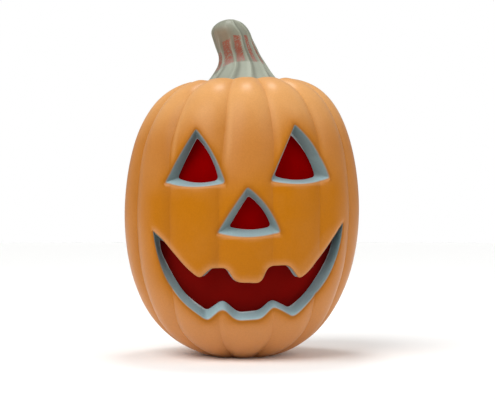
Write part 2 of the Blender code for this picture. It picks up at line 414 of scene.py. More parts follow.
@dataclass(frozen=True)
class Opening:
    """A carved opening.

    Args:
        name: Its name.
        outer: Corners of its edge on the outside of the body.
        inner: Corners of its edge at the film.
        film: Corners of the film behind it.
        glow: How far golden paint reaches from it, in metres.
        painted_wall_shade: How dark its walls are painted on each side, a painted shade where less light
            reaches them.
        edge_highlight: The painted highlight beside it, pale paint on its lip.
        film_tone: The red of its film.
        spacing: Distance between the points of its edges, in metres.
        arc_pieces: Pieces in the rounding of a corner.
        soften: How often the edges are averaged.
    """

    name: str
    outer: tuple[Corner, ...]
    inner: tuple[Corner, ...]
    film: tuple[Corner, ...]
    glow: BySide
    # The walls' painted shade, side by side.
    painted_wall_shade: BySide = BySide(left=1.0, right=0.95, above=1.0, below=0.0)
    edge_highlight: EdgeHighlight = EdgeHighlight()
    film_tone: FilmTone = FilmTone.BRIGHT
    spacing: float = 0.0013
    arc_pieces: int = 6
    soften: int = 1

    @staticmethod
    def trims(corners: tuple[Corner, ...], index: int) -> tuple[float, float, float]:
        """Measures the straight part of a side.

        Args:
            corners: The edge's corners.
            index: The corner that the side follows.

        Returns:
            The shares at which its two roundings end, and its length in metres.
        """
        here = corners[index]
        after = corners[(index + 1) % len(corners)]
        length = math.hypot(after.along - here.along, after.height - here.height)
        first = min(here.rounding / length, 0.45)
        return first, 1.0 - min(after.rounding / length, 0.45), length * MM

    def side_pieces(self, corners: tuple[Corner, ...], index: int) -> int:
        """Number of pieces in a side, the same for the outer edge and the edge at the film."""
        lead = self.outer if len(corners) == len(self.outer) else corners
        first, last, length = self.trims(lead, index)
        return max(1, round(length * (last - first) / self.spacing))

    def edge(self, corners: tuple[Corner, ...]) -> np.ndarray:
        """Points round a flat edge with bulged sides and rounded corners.

        Args:
            corners: The edge's corners, clockwise as seen from the front.

        Returns:
            An array of distances round the body and heights, in metres.
        """
        count = len(corners)
        places = [Vector((corner.along, corner.height)) * MM for corner in corners]

        def on_side(index: int, share: float) -> Vector:
            """Point on the bulged side that follows a corner."""
            run = places[(index + 1) % count] - places[index]
            outward = Vector((-run.y, run.x)).normalized()
            bow = corners[index].bulge * MM * 4.0 * share * (1.0 - share)
            return places[index] + run * share + outward * bow

        points = []
        for index in range(count):
            start = on_side(index - 1, self.trims(corners, index - 1)[1])
            first, last, _ = self.trims(corners, index)
            end = on_side(index, first)
            for piece in range(self.arc_pieces + 1):
                turn = piece / self.arc_pieces
                points.append(start * (1.0 - turn) ** 2 + places[index] * 2.0 * turn * (1.0 - turn)
                              + end * turn ** 2)
            pieces = self.side_pieces(corners, index)
            for piece in range(1, pieces):
                points.append(on_side(index, first + (last - first) * piece / pieces))
        return self.softened(np.array([(point.x, point.y) for point in points]))

    def softened(self, points: np.ndarray) -> np.ndarray:
        """Takes the last stiffness out of an edge by averaging neighbours."""
        for _ in range(self.soften):
            points = points * 0.5 + (np.roll(points, 1, axis=0) + np.roll(points, -1, axis=0)) * 0.25
        return points


def grown(points: np.ndarray, growth: float, step: float = 0.0002) -> np.ndarray:
    """Moves a closed clockwise edge away from its opening, or into it.

    Args:
        points: Flat points of the edge in order.
        growth: How far the edge moves, below zero into the opening.
        step: Longest single move, short enough that the edge never crosses itself.

    Returns:
        The moved edge.
    """
    moves = max(1, math.ceil(abs(growth) / step))
    for _ in range(moves):
        before = np.roll(points, 1, axis=0)
        after = np.roll(points, -1, axis=0)
        run = after - before
        normals = np.stack((-run[:, 1], run[:, 0]), axis=1)
        normals /= np.maximum(np.linalg.norm(normals, axis=1, keepdims=True), 1e-12)
        points = points + normals * (growth / moves) + (before + after - points * 2.0) * 0.06
    return points


LEFT_EYE = Opening(
    name="left_eye",
    outer=(Corner(-53.8, 222.4, 1.6, 4.4), Corner(-19.6, 171.0, 3.0, 3.4), Corner(-83.2, 173.4, 1.2, 0.3)),
    inner=(Corner(-61.5, 214.7, 2.0, 4.8), Corner(-30.1, 174.5, 4.5, 3.6), Corner(-80.9, 177.7, 2.5, 0.4)),
    film=(Corner(-61.5, 223.0, 3.0, 4.8), Corner(-22.5, 170.5, 4.5, 3.6), Corner(-88.5, 172.5, 3.0, 0.4)),
    glow=BySide(left=0.0105, right=0.0050, above=0.0060, below=0.0080),
)
RIGHT_EYE = Opening(
    name="right_eye",
    outer=(Corner(54.8, 224.3, 1.6, 4.2), Corner(90.9, 173.9, 1.4, 4.0), Corner(23.6, 171.8, 2.4, 1.5)),
    inner=(Corner(58.5, 216.0, 2.0, 4.0), Corner(87.2, 175.6, 4.5, 3.6), Corner(32.4, 176.8, 3.5, 1.2)),
    film=(Corner(58.0, 224.5, 3.0, 4.0), Corner(94.0, 171.5, 4.5, 3.6), Corner(26.0, 173.5, 3.5, 1.2)),
    glow=BySide(left=0.0120, right=0.0160, above=0.0080, below=0.0080),
)
NOSE = Opening(
    name="nose",
    outer=(Corner(1.2, 166.3, 1.6, 3.8), Corner(32.8, 123.8, 1.8, 3.6), Corner(-27.2, 124.9, 1.4, 0.5)),
    inner=(Corner(2.9, 158.4, 2.0, 3.0), Corner(27.6, 129.8, 4.0, 2.8), Corner(-17.5, 130.6, 2.5, 0.3)),
    film=(Corner(2.8, 166.0, 3.0, 3.0), Corner(34.5, 125.5, 4.0, 2.8), Corner(-24.5, 126.0, 3.0, 0.3)),
    glow=BySide(left=0.0080, right=0.0080, above=0.0060, below=0.0060),
    painted_wall_shade=BySide(left=1.0, right=0.95, above=1.0, below=0.4),
)
MOUTH = Opening(
    name="mouth",
    outer=(
        Corner(-97.8, 128.7, 2.0), Corner(-84.1, 118.9, 8.0), Corner(-60.1, 92.4, 7.0),
        Corner(-47.6, 82.4, 5.0), Corner(-35.1, 92.1, 4.0), Corner(-18.6, 92.1, 5.0),
        Corner(-10.5, 78.5, 6.0), Corner(15.5, 76.8, 6.0), Corner(22.1, 92.5, 5.0),
        Corner(43.4, 93.1, 6.0), Corner(57.6, 78.8, 5.0), Corner(67.7, 86.4, 4.0),
        Corner(94.2, 116.4, 8.0), Corner(110.4, 131.6, 2.0), Corner(107.6, 104.6, 12.0),
        Corner(97.3, 76.3, 12.0), Corner(77.0, 53.9, 10.0), Corner(63.4, 42.7, 6.0),
        Corner(32.3, 54.2, 6.0), Corner(20.4, 42.6, 6.0), Corner(-11.7, 41.8, 7.0),
        Corner(-25.0, 53.9, 6.0), Corner(-47.5, 41.1, 6.0), Corner(-72.9, 59.2, 12.0),
        Corner(-88.4, 80.4, 12.0), Corner(-95.4, 110.8, 10.0),
    ),
    inner=(
        Corner(-110.7, 118.7, 1.5), Corner(-99.5, 117.0, 4.0), Corner(-71.9, 94.2, 7.0),
        Corner(-52.6, 82.6, 5.0), Corner(-37.6, 92.5, 4.0), Corner(-23.6, 92.5, 5.0),
        Corner(-14.2, 78.6, 6.0), Corner(19.6, 77.2, 6.0), Corner(27.3, 93.0, 5.0),
        Corner(48.6, 93.4, 6.0), Corner(66.0, 79.2, 5.0), Corner(85.2, 88.0, 4.0),
        Corner(115.8, 113.0, 4.0), Corner(125.7, 118.0, 1.5), Corner(118.3, 99.8, 8.0),
        Corner(106.6, 84.3, 10.0), Corner(87.8, 61.5, 10.0), Corner(68.7, 50.7, 6.0),
        Corner(36.3, 60.4, 6.0), Corner(21.9, 50.1, 6.0), Corner(-10.3, 48.6, 7.0),
        Corner(-29.6, 61.6, 6.0), Corner(-57.2, 50.6, 6.0), Corner(-84.1, 66.6, 10.0),
        Corner(-96.8, 86.0, 12.0), Corner(-110.4, 108.1, 4.0),
    ),
    film=(
        Corner(-116.0, 124.0, 3.0), Corner(-58.0, 101.0, 10.0), Corner(70.0, 101.0, 10.0),
        Corner(131.0, 123.0, 3.0), Corner(115.0, 78.0, 12.0), Corner(72.0, 41.0, 12.0),
        Corner(-60.0, 41.0, 12.0), Corner(-102.0, 78.0, 12.0),
    ),
    glow=BySide(left=0.0160, right=0.0140, above=0.0080, below=0.0060),
    painted_wall_shade=BySide(left=0.7, right=0.1, above=0.8, below=0.1),
    edge_highlight=EdgeHighlight(side=1.0, limits=(0.2, 0.6), start=0.0, fade=0.0038, share=0.40, softening=1.0),
    film_tone=FilmTone.DEEP,
)
OPENINGS = (LEFT_EYE, RIGHT_EYE, NOSE, MOUTH)


def mesh_object(name: str, mesh: bmesh.types.BMesh) -> bpy.types.Object:
    """Turns a bmesh into an object in the scene and frees it.

    Args:
        name: Name of the object and its mesh.
        mesh: The finished bmesh.

    Returns:
        The new object.
    """
    data = bpy.data.meshes.new(name)
    mesh.to_mesh(data)
    mesh.free()
    piece = bpy.data.objects.new(name, data)
    bpy.context.scene.collection.objects.link(piece)
    return piece


def store(piece: bpy.types.Object, name: str, values: np.ndarray) -> None:
    """Stores one number a vertex as an attribute."""
    layer = piece.data.attributes.new(name, "FLOAT", "POINT")
    layer.data.foreach_set("value", np.asarray(values, dtype=np.float32))


def vertex_places(piece: bpy.types.Object) -> np.ndarray:
    """Places of a mesh's vertices as an array."""
    places = np.empty(len(piece.data.vertices) * 3, dtype=np.float32)
    piece.data.vertices.foreach_get("co", places)
    return places.reshape(-1, 3).astype(float)


def wall_directions(piece: bpy.types.Object, azimuth: np.ndarray) -> np.ndarray:
    """Flat directions from the middle of an opening towards its walls, read from the mesh's normals.

    Args:
        piece: The carved body.
        azimuth: Angle of each vertex from the face.

    Returns:
        One flat direction a vertex.
    """
    normals = np.empty(len(piece.data.vertices) * 3, dtype=np.float32)
    piece.data.vertices.foreach_get("normal", normals)
    normals = normals.reshape(-1, 3)
    across = normals[:, 0] * np.cos(azimuth) + normals[:, 1] * np.sin(azimuth)
    flat = -np.stack((across, normals[:, 2]), axis=1)
    return flat / np.maximum(np.linalg.norm(flat, axis=1, keepdims=True), 1e-6)


def edge_distance(points: np.ndarray, edge: np.ndarray) -> tuple[np.ndarray, np.ndarray]:
    """Shortest distance from flat points to a closed clockwise edge.

    Args:
        points: Flat points, one a row.
        edge: Points of the edge in order.

    Returns:
        One distance a point, and the outward direction of the edge nearest to it.
    """
    best = np.full(len(points), np.inf)
    facing = np.zeros((len(points), 2))
    for start, end in zip(edge, np.roll(edge, -1, axis=0)):
        run = end - start
        share = np.clip(((points - start) @ run) / max(run @ run, 1e-12), 0.0, 1.0)
        gap = points - start - share[:, None] * run
        square = np.einsum("ij,ij->i", gap, gap)
        closer = square < best
        best[closer] = square[closer]
        facing[closer] = np.array((-run[1], run[0])) / max(np.linalg.norm(run), 1e-12)
    return np.sqrt(best), facing


def shaped_sphere(segments: int, rings: int, shape: Callable[[Vector], Vector]) -> bmesh.types.BMesh:
    """Shapes a unit sphere.

    Args:
        segments: Meridians.
        rings: Parallels.
        shape: Gives the new place of a vertex.

    Returns:
        The closed bmesh.
    """
    mesh = bmesh.new()
    bmesh.ops.create_uvsphere(mesh, u_segments=segments, v_segments=rings, radius=1.0)
    for vert in mesh.verts:
        vert.co = shape(vert.co)
    bmesh.ops.recalc_face_normals(mesh, faces=mesh.faces)
    return mesh


def opening_solid(name: str, levels: list[tuple[float, np.ndarray]], cell: float,
                  shape: Callable[[float, float, float], Vector]) -> bpy.types.Object:
    """Stacks an opening's edges into a flat solid, divides it into cells and lays it round the body.

    Args:
        name: Name of the object.
        levels: Depth shares with the edge's points at each of them.
        cell: Size of the cells.
        shape: Gives the place of a distance round the body, a depth share and a height.

    Returns:
        The new object.
    """
    mesh = bmesh.new()
    order = mesh.verts.layers.int.new("order")
    first_share, first_edge = levels[0]
    for number, (along, height) in enumerate(first_edge):
        mesh.verts.new((along, first_share, height))[order] = number
    mesh.verts.ensure_lookup_table()
    face = mesh.faces.new(mesh.verts)
    for share, edge in levels[1:]:
        made = bmesh.ops.extrude_face_region(mesh, geom=[face])["geom"]
        if share != levels[1][0]:
            bmesh.ops.delete(mesh, geom=[face], context="FACES_ONLY")
        face = next(item for item in made if isinstance(item, bmesh.types.BMFace))
        for vert in face.verts:
            along, height = edge[vert[order]]
            vert.co = (along, share, height)
    for axis, normal in ((0, Vector((1.0, 0.0, 0.0))), (2, Vector((0.0, 0.0, 1.0)))):
        low = min(vert.co[axis] for vert in mesh.verts)
        high = max(vert.co[axis] for vert in mesh.verts)
        cells = max(2, round((high - low) / cell))
        for number in range(1, cells):
            geometry = mesh.verts[:] + mesh.edges[:] + mesh.faces[:]
            place = normal * (low + (high - low) * number / cells)
            bmesh.ops.bisect_plane(mesh, geom=geometry, dist=1e-6, plane_co=place, plane_no=normal)
    bmesh.ops.triangulate(mesh, faces=mesh.faces)
    for vert in mesh.verts:
        vert.co = shape(*vert.co)
    bmesh.ops.recalc_face_normals(mesh, faces=mesh.faces)
    return mesh_object(name, mesh)


@dataclass(frozen=True)
class AirbrushedPlastic:
    """Moulded polyethylene foam with an airbrushed satin coat.

    It gives the eye a soft, slightly mottled orange that turns golden over the cheeks and
    dark amber round the openings, with bare pale blue-grey walls inside them, painted shade on
    one flank of each groove and on the walls' sides and tops, and painted highlights on the lips
    and beside the grooves.
    """

    name: str = "airbrushed_orange_plastic"
    orange: str = "#b87837"
    deep_orange: str = "#b2702e"
    # pale paint on the crown, also the painted highlight beside the grooves
    pale_orange: str = "#d29b60"
    # paler towards the foot
    pale_chin_orange: str = "#c5864e"
    golden: str = "#b06900"
    amber: str = "#9a5a0a"
    # painted shade on the flank of each groove that faces away from the light
    painted_groove_shade: str = "#a26112"
    # painted highlight on the rounded lips of the openings
    painted_lip_highlight: str = "#d9a070"
    wall: str = "#9cb6bb"
    # painted shade: the darker wall colour, laid on the sides and tops of the walls where less light reaches
    # them
    painted_shade_wall: str = "#798888"
    edge: str = "#c9d2d3"
    ior: float = 1.5
    roughness: float = 0.33
    gloss: float = 0.12
    mottle_size: float = 0.028
    speckle_size: float = 0.0016
    grain_size: float = 0.0013
    grain_depth: float = 0.0002
    relief: float = 0.12

    def material(self) -> bpy.types.Material:
        """Builds the node material.

        Returns:
            The material, which reads the shell's painted attributes.
        """
        material, tree, shader, place = new_material(self.name)
        mottle, speckle, grain = (
            add_node(tree, "ShaderNodeTexNoise", {"Scale": 1.0 / size, "Detail": detail, "Roughness": rough},
                     {"Vector": place}).outputs["Fac"]
            for size, detail, rough in ((self.mottle_size, 3.0, 0.55), (self.speckle_size, 2.0, 0.5),
                                        (self.grain_size, 2.0, 0.5)))
        masks = {name: add_node(tree, "ShaderNodeAttribute", {"attribute_name": name}).outputs["Fac"]
                 for name in ("crown", "chin", "golden", "halo", "groove", "crest", "recess", "painted_lip_highlight",
                              "shade", "rim")}
        for name, texture, low, high in (("crown", mottle, 1.0, 0.8), ("golden", mottle, 0.85, 1.1),
                                         ("groove", mottle, 0.3, 0.6), ("halo", speckle, 0.8, 1.0)):
            ranged = add_node(tree, "ShaderNodeMapRange", {"From Min": 0.3, "From Max": 0.7, "To Min": low,
                                                           "To Max": high}, {"Value": texture})
            product = add_node(tree, "ShaderNodeMath", {"operation": "MULTIPLY", "use_clamp": True},
                               {0: masks[name], 1: ranged.outputs["Result"]})
            masks[name] = product.outputs["Value"]
        coat = add_node(tree, "ShaderNodeMix", {"data_type": "RGBA", 6: linear_colour(self.orange),
                                                7: linear_colour(self.deep_orange)}, {0: mottle})
        # The groove coat is painted shade, and the crest and lip coats are painted highlights.
        for name, colour in (("crown", self.pale_orange), ("chin", self.pale_chin_orange),
                             ("golden", self.golden), ("groove", self.painted_groove_shade), ("crest", self.pale_orange),
                             ("halo", self.amber), ("painted_lip_highlight", self.painted_lip_highlight)):
            coat = add_node(tree, "ShaderNodeMix", {"data_type": "RGBA", 7: linear_colour(colour)},
                            {0: masks[name], 6: coat.outputs[2]})
        # Painted shade: the walls turn darker towards their sides and tops, following the shade mask.
        walls = add_node(tree, "ShaderNodeMix", {"data_type": "RGBA", 6: linear_colour(self.wall),
                                                 7: linear_colour(self.painted_shade_wall)}, {0: masks["shade"]})
        coat = add_node(tree, "ShaderNodeMix", {"data_type": "RGBA"},
                        {0: masks["recess"], 6: coat.outputs[2], 7: walls.outputs[2]})
        coat = add_node(tree, "ShaderNodeMix", {"data_type": "RGBA", 7: linear_colour(self.edge)},
                        {0: masks["rim"], 6: coat.outputs[2]})
        tint = add_node(tree, "ShaderNodeMapRange", {"From Min": 0.35, "From Max": 0.65, "To Min": 0.97,
                                                     "To Max": 1.03}, {"Value": speckle})
        toned = add_node(tree, "ShaderNodeHueSaturation", {},
                         {"Color": coat.outputs[2], "Value": tint.outputs["Result"]})
        bump = add_node(tree, "ShaderNodeBump", {"Strength": self.relief, "Distance": self.grain_depth},
                        {"Height": grain})
        set_node(tree, shader, {"Roughness": self.roughness, "IOR": self.ior,
                                "Specular IOR Level": self.gloss},
                 {"Base Color": toned.outputs["Color"], "Normal": bump.outputs["Normal"]})
        return material


STEM_MASKS = ("rust", "thin", "tan", "foot", "painted_ridge_highlight", "painted_ridge_shade")


@dataclass(frozen=True)
class StemPlastic:
    """The same plastic painted grey-green, with rust-red paint dragged into the flutes.

    It gives the eye a chalky satin green with dry brush strokes, pale painted highlights on the
    ridges, painted shade beside them and a tan painted shade under the bent tip.
    """

    name: str = "brushed_green_plastic"
    green: str = "#808272"
    light: str = "#999f90"
    # painted shade under the forward-bent tip
    tan: str = "#7f705a"
    # painted highlight on the ridges, and painted shade beside them
    painted_ridge_highlight: str = "#a4ab9a"
    painted_ridge_shade: str = "#66675a"
    rust: str = "#8d3f27"
    dust: str = "#9d6f66"
    ior: float = 1.5
    roughness: float = 0.5
    mottle_size: float = 1.0 / 70.0
    stroke: tuple[float, float, float] = (0.0010, 0.0010, 0.0036)
    stroke_tilt: float = 0.9
    grain_size: float = 1.0 / 900.0
    grain_depth: float = 0.0002
    relief: float = 0.15

    def material(self) -> bpy.types.Material:
        """Builds the node material.

        Returns:
            The material, which reads the stem's painted attributes.
        """
        material, tree, shader, place = new_material(self.name)
        turned = add_node(tree, "ShaderNodeMapping", {"vector_type": "TEXTURE", "Scale": self.stroke,
                                                      "Rotation": (0.0, self.stroke_tilt, 0.0)},
                          {"Vector": place}).outputs["Vector"]
        mottle, hatch, grain = (
            add_node(tree, "ShaderNodeTexNoise", {"Scale": 1.0 / size, "Detail": detail, "Roughness": rough},
                     {"Vector": vector}).outputs["Fac"]
            for size, detail, rough, vector in ((self.mottle_size, 4.0, 0.5, place), (1.0, 3.0, 0.6, turned),
                                                (self.grain_size, 2.0, 0.5, place)))
        masks = {name: add_node(tree, "ShaderNodeAttribute", {"attribute_name": name}).outputs["Fac"]
                 for name in STEM_MASKS}
        strokes = add_node(tree, "ShaderNodeMapRange", {"From Min": 0.38, "From Max": 0.62, "To Min": -0.66,
                                                        "To Max": 0.30}, {"Value": hatch})
        laid = add_node(tree, "ShaderNodeMath", {"operation": "ADD"},
                        {0: masks["rust"], 1: strokes.outputs["Result"]})
        cover = add_node(tree, "ShaderNodeMapRange", {"From Min": 0.35, "From Max": 0.75, "To Min": 0.0,
                                                      "To Max": 0.92}, {"Value": laid.outputs["Value"]})
        fading = add_node(tree, "ShaderNodeMix", {"data_type": "RGBA", 6: linear_colour(self.rust),
                                                  7: linear_colour(self.dust)}, {0: masks["thin"]})
        coat = add_node(tree, "ShaderNodeMix", {"data_type": "RGBA", 6: linear_colour(self.green),
                                                7: linear_colour(self.light)}, {0: masks["foot"]})
        # Painted shade in tan under the bent tip.
        coat = add_node(tree, "ShaderNodeMix", {"data_type": "RGBA", 7: linear_colour(self.tan)},
                        {0: masks["tan"], 6: coat.outputs[2]})
        coat = add_node(tree, "ShaderNodeMix", {"data_type": "RGBA"},
                        {0: cover.outputs["Result"], 6: coat.outputs[2], 7: fading.outputs[2]})
        # Painted shade beside the ridges, then a painted highlight on them.
        for name, colour in (("painted_ridge_shade", self.painted_ridge_shade), ("painted_ridge_highlight", self.painted_ridge_highlight)):
            coat = add_node(tree, "ShaderNodeMix", {"data_type": "RGBA", 7: linear_colour(colour)},
                            {0: masks[name], 6: coat.outputs[2]})
        tint = add_node(tree, "ShaderNodeMapRange", {"From Min": 0.3, "From Max": 0.7, "To Min": 0.95,
                                                     "To Max": 1.05}, {"Value": mottle})
        toned = add_node(tree, "ShaderNodeHueSaturation", {},
                         {"Color": coat.outputs[2], "Value": tint.outputs["Result"]})
        bump = add_node(tree, "ShaderNodeBump", {"Strength": self.relief, "Distance": self.grain_depth},
                        {"Height": grain})
        set_node(tree, shader, {"Roughness": self.roughness, "IOR": self.ior},
                 {"Base Color": toned.outputs["Color"], "Normal": bump.outputs["Normal"]})
        return material


@dataclass(frozen=True)
class RedFilm:
    """Dyed polyester film with a matt back.

    It gives the eye an even, very dark red with hardly any gloss.
    """

    name: str = "red_film"
    red: str = "#860001"
    deep: str = "#730001"
    ior: float = 1.45
    roughness: float = 0.5
    gloss: float = 0.0
    cloud_size: float = 1.0 / 45.0

    def material(self) -> bpy.types.Material:
        """Builds the node material.

        Returns:
            The material.
        """
        material, tree, shader, place = new_material(self.name)
        cloud = add_node(tree, "ShaderNodeTexNoise", {"Scale": 1.0 / self.cloud_size, "Detail": 2.0},
                         {"Vector": place})
        colour = add_node(tree, "ShaderNodeMix", {"data_type": "RGBA", 6: linear_colour(self.red),
                                                  7: linear_colour(self.deep)}, {0: cloud.outputs["Fac"]})
        set_node(tree, shader, {"Roughness": self.roughness, "IOR": self.ior,
                                "Specular IOR Level": self.gloss},
                 {"Base Color": colour.outputs[2]})
        return material


@dataclass(frozen=True)
class StudioPaper:
    """Matt white background paper, which gives the eye a plain pale floor."""

    name: str = "studio_paper"
    white: str = "#fbfbfa"
    roughness: float = 0.9
    gloss: float = 0.1
    fibre_size: float = 0.0025

    def material(self) -> bpy.types.Material:
        """Builds the node material.

        Returns:
            The material.
        """
        material, tree, shader, place = new_material(self.name)
        fibre = add_node(tree, "ShaderNodeTexNoise", {"Scale": 1.0 / self.fibre_size, "Detail": 2.0},
                         {"Vector": place})
        bump = add_node(tree, "ShaderNodeBump", {"Strength": 0.02, "Distance": 0.0002},
                        {"Height": fibre.outputs["Fac"]})
        set_node(tree, shader, {"Base Color": linear_colour(self.white), "Roughness": self.roughness,
                                "Specular IOR Level": self.gloss}, {"Normal": bump.outputs["Normal"]})
        return material


@dataclass(frozen=True)
class Measures:
    """What is measured at the vertices of the carved body, one value for each.

    Args:
        aside: Distance towards +X.
        height: Height before the lean.
        along: Distance round the body on the rib crests.
        azimuth: Angle from the face.
        depth: Depth below the uncut surface.
        walls: Flat direction towards the nearest wall of an opening.
    """

    aside: np.ndarray
    height: np.ndarray
    along: np.ndarray
    azimuth: np.ndarray
    depth: np.ndarray
    walls: np.ndarray


@dataclass(frozen=True)
class Airbrush:
    """Lays the body's paint by measured distances in metres, and across a rib by shares of it."""

    front: float = math.radians(85.0)
    wall_reach: float = 0.030
    line_start: float = 0.0012
    line_fade: float = 0.0024
    line_share: float = 0.85
    line_break: float = 0.8
    glow_share: float = 0.85
    crown: tuple[float, float] = (0.203, 0.262)
    chin: tuple[float, float] = (0.030, 0.100)
    golden_top: tuple[float, float] = (0.150, 0.188)
    top_tilt: float = 0.012
    tilt_span: tuple[float, float] = (-0.010, 0.030)
    golden_foot: float = 0.078
    foot_rise: float = 0.045
    rise_span: tuple[float, float] = (0.040, 0.095)
    foot_fade: tuple[float, float] = (-0.008, 0.010)
    golden_sides: tuple[float, float] = (0.090, 0.128)
    left_side: tuple[float, float] = (-0.02, 0.03)
    # The flank fields place the painted shade beside the grooves, and the ridge fields the painted highlight.
    flank_left: float = 0.22
    flank_right: float = 0.04
    flank_low: tuple[float, float] = (0.040, 0.110)
    flank_high: tuple[float, float] = (0.215, 0.250)
    flank_thinned: float = 0.6
    ridge_offset: float = 0.10
    ridge_width: float = 0.05
    ridge_heights: tuple[float, float] = (0.180, 0.210)
    rim_depths: tuple[float, float] = (0.0142, 0.0150)
    rim_thinned: float = 0.6
    recess_start: float = 0.0003
    recess_softened: float = 0.0013
    recess_fade: float = 0.0011

    def round_openings(self, openings: tuple[Opening, ...], seen: Measures) -> dict[str, np.ndarray]:
        """Measures the paint that follows the openings' edges.

        Args:
            openings: The openings.
            seen: What is measured at the vertices.

        Returns:
            Shares of the dark line, the golden glow and the pale painted highlight on the lips, how dark
            the walls are painted as painted shade, and how far the nearest lip is softened.
        """
        count = len(seen.height)
        front = np.abs(seen.azimuth) < self.front
        flat = np.stack((seen.along, seen.height), axis=1)[front]
        masks = {name: np.zeros(count) for name in ("halo", "glow", "painted_lip_highlight", "shade", "softened")}
        closest = np.full(count, self.wall_reach)
        for opening in openings:
            gap = np.full(count, 1.0)
            facing = np.zeros((count, 2))
            gap[front], facing[front] = edge_distance(flat, opening.edge(opening.outer))
            edge_highlight = opening.edge_highlight
            pale = smooth_array(facing[:, 1] * edge_highlight.side, *edge_highlight.limits)
            line = np.exp(-(np.maximum(gap - self.line_start, 0.0) / self.line_fade) ** 2)
            line *= 1.0 - pale * self.line_break
            glow = np.exp(-(gap / np.maximum(opening.glow.towards(facing), MM)) ** 2)
            # Painted highlight: pale paint on the lip beside the edges that face the light.
            painted_lip_highlight = pale * np.exp(-((gap - edge_highlight.start) / edge_highlight.fade) ** 2)
            for name, share in (("halo", line * self.line_share), ("glow", glow * self.glow_share),
                                ("painted_lip_highlight", painted_lip_highlight * edge_highlight.share)):
                masks[name] = np.maximum(masks[name], share)
            near = gap < closest
            closest[near] = gap[near]
            masks["softened"][near] = pale[near] * edge_highlight.softening
            # Painted shade: how dark each wall is painted, by the way it faces.
            masks["shade"][near] = np.clip(opening.painted_wall_shade.towards(seen.walls[near]), 0.0, 1.0)
        return masks

    def golden(self, seen: Measures) -> np.ndarray:
        """Measures the golden field between the brow and the grin.

        Args:
            seen: What is measured at the vertices.

        Returns:
            One share a vertex.
        """
        across = np.abs(seen.along)
        tilt = self.top_tilt * smooth_array(seen.along, *self.tilt_span)
        upper = 1.0 - smooth_array(seen.height - tilt, *self.golden_top)
        grin = self.golden_foot + self.foot_rise * smooth_array(across, *self.rise_span)
        lower = smooth_array(seen.height - grin, *self.foot_fade)
        return upper * lower * (1.0 - smooth_array(across, *self.golden_sides))

    def masks(self, form: BodyForm, openings: tuple[Opening, ...], seen: Measures) -> dict[str, np.ndarray]:
        """Measures where each coat lies.

        Args:
            form: The body's form.
            openings: The openings.
            seen: What is measured at the vertices.

        Returns:
            The shares of every coat that AirbrushedPlastic reads.
        """
        edges = self.round_openings(openings, seen)
        offset = form.rib_angles(seen.azimuth, seen.height) * form.lobes / math.tau + 0.5
        offset -= np.round(offset)
        # Painted shade: the groove coat darkens the flank left of each groove, most on the body's left, for
        # the light from the left.
        flank = np.exp(-(offset / np.where(offset < 0.0, self.flank_left, self.flank_right)) ** 2)
        thinned = self.flank_thinned * smooth_array(seen.height, *self.flank_high)
        flank *= smooth_array(seen.height, *self.flank_low) * (1.0 - thinned)
        # Painted highlight: the pale crest coat on the flank right of each groove stands in for light caught
        # from the left.
        ridge = np.exp(-((offset - self.ridge_offset) / self.ridge_width) ** 2)
        left = 1.0 - smooth_array(seen.aside, *self.left_side)
        front = np.abs(seen.azimuth) < self.front
        start = self.recess_start + self.recess_softened * edges["softened"]
        return {
            "crown": smooth_array(seen.height, *self.crown),
            "chin": 1.0 - smooth_array(seen.height, *self.chin),
            "golden": np.where(front, np.maximum(self.golden(seen), edges["glow"]), 0.0),
            "halo": edges["halo"],
            "groove": flank * (0.25 + 0.75 * left),
            "crest": ridge * (0.15 + 0.20 * left) * smooth_array(seen.height, *self.ridge_heights),
            "painted_lip_highlight": edges["painted_lip_highlight"],
            "shade": edges["shade"],
            "rim": smooth_array(seen.depth, *self.rim_depths) * (1.0 - self.rim_thinned * edges["softened"]),
            "recess": np.clip((seen.depth - start) / self.recess_fade, 0.0, 1.0),
        }


